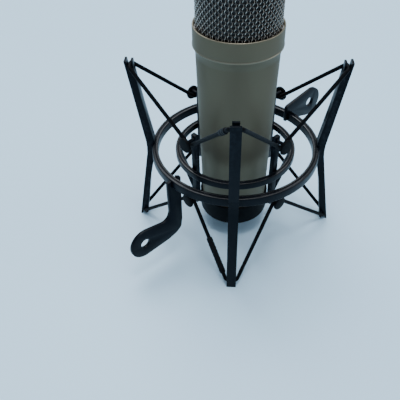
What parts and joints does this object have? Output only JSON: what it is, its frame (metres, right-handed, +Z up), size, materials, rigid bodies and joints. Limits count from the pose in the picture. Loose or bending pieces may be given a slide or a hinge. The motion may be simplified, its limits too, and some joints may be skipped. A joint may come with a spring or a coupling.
{
  "type": "condenser microphone",
  "caption": "Side-address condenser microphone with woven grille and tapered body, hung by elastic cords in a skeletal shock mount with side lugs.",
  "frame": {"origin": "on the microphone's axis, at the plane the shock mount's lower prongs stand on", "axes": "+Z up along the microphone's axis, -Y towards the front upright, +X to the right"},
  "size_m": [0.1442, 0.1442, 0.203],
  "materials": {
    "mount_black": "satin black moulded",
    "lug_black": "satin black",
    "elastic_black": "woven sheath over rubber",
    "sleeve_black": "shrunk sleeve",
    "washer_felt": "felt",
    "champagne_metal": "satin champagne",
    "mesh_steel": "woven wire",
    "steel": "plain",
    "brass": "turned",
    "gold_film": "sputtered film",
    "white_plastic": "moulded",
    "board_green": "resin board",
    "core_steel": "laminated",
    "coil_wrap": "tape",
    "can_dark": "sleeved",
    "die_cast": "satin",
    "insert_black": "moulded",
    "pin_metal": "plated"
  },
  "bodies": {
    "mount_frame": {"outer_ring": "mount_black", "upright_right": "mount_black", "upright_back": "mount_black", "upright_left": "mount_black", "upright_front": "mount_black", "lug_dropped": "lug_black", "lug_level": "lug_black", "upper_cord": "elastic_black", "lower_cord": "elastic_black", "upper_cord_sleeve": "sleeve_black", "lower_cord_sleeve": "sleeve_black"},
    "cradle": {"cradle_ring": "mount_black", "cradle_post_back_right": "mount_black", "cradle_post_back_left": "mount_black", "cradle_post_front_left": "mount_black", "cradle_post_front_right": "mount_black", "cradle_leg_right": "mount_black", "cradle_leg_back": "mount_black", "cradle_leg_left": "mount_black", "cradle_leg_front": "mount_black", "cup": "mount_black", "cup_washer": "washer_felt"},
    "lock_ring": {"lock_ring": "mount_black"},
    "microphone": {"body_tube": "champagne_metal", "collar": "champagne_metal", "grille_base_ring": "steel", "grille_outer_mesh": "mesh_steel", "grille_inner_mesh": "mesh_steel", "capsule_housing": "brass", "capsule_backplate": "brass", "capsule_diaphragm_front": "gold_film", "capsule_diaphragm_rear": "gold_film", "capsule_clamp_front": "brass", "capsule_clamp_rear": "brass", "capsule_screws": "steel", "capsule_saddle": "white_plastic", "deck_plate": "board_green", "deck_screws": "steel", "frame_rail_right": "steel", "frame_rail_left": "steel", "circuit_board": "board_green", "transformer_core": "core_steel", "transformer_coil": "coil_wrap", "capacitors": "can_dark", "base_plug": "die_cast", "socket_insert": "insert_black", "socket_pins": "pin_metal"}
  },
  "joints": [
    {"name": "suspension", "type": "slide", "parent": "mount_frame", "child": "cradle", "axis": [0, 0, 1], "range_m": [-0.004, 0.006], "stiffness_N_per_m": 1500, "springref_m": 0.00357, "deforming": ["upper_cord", "lower_cord", "upper_cord_sleeve", "lower_cord_sleeve"]},
    {"name": "lock_ring_turn", "type": "hinge", "parent": "cradle", "child": "lock_ring", "pos_m": [0, 0, 0.0098], "axis": [0, 0, -1], "range_deg": [0, 360]},
    {"name": "microphone_lift", "type": "slide", "parent": "cradle", "child": "microphone", "axis": [0, 0, 1], "range_m": [0, 0.03]}
  ]
}
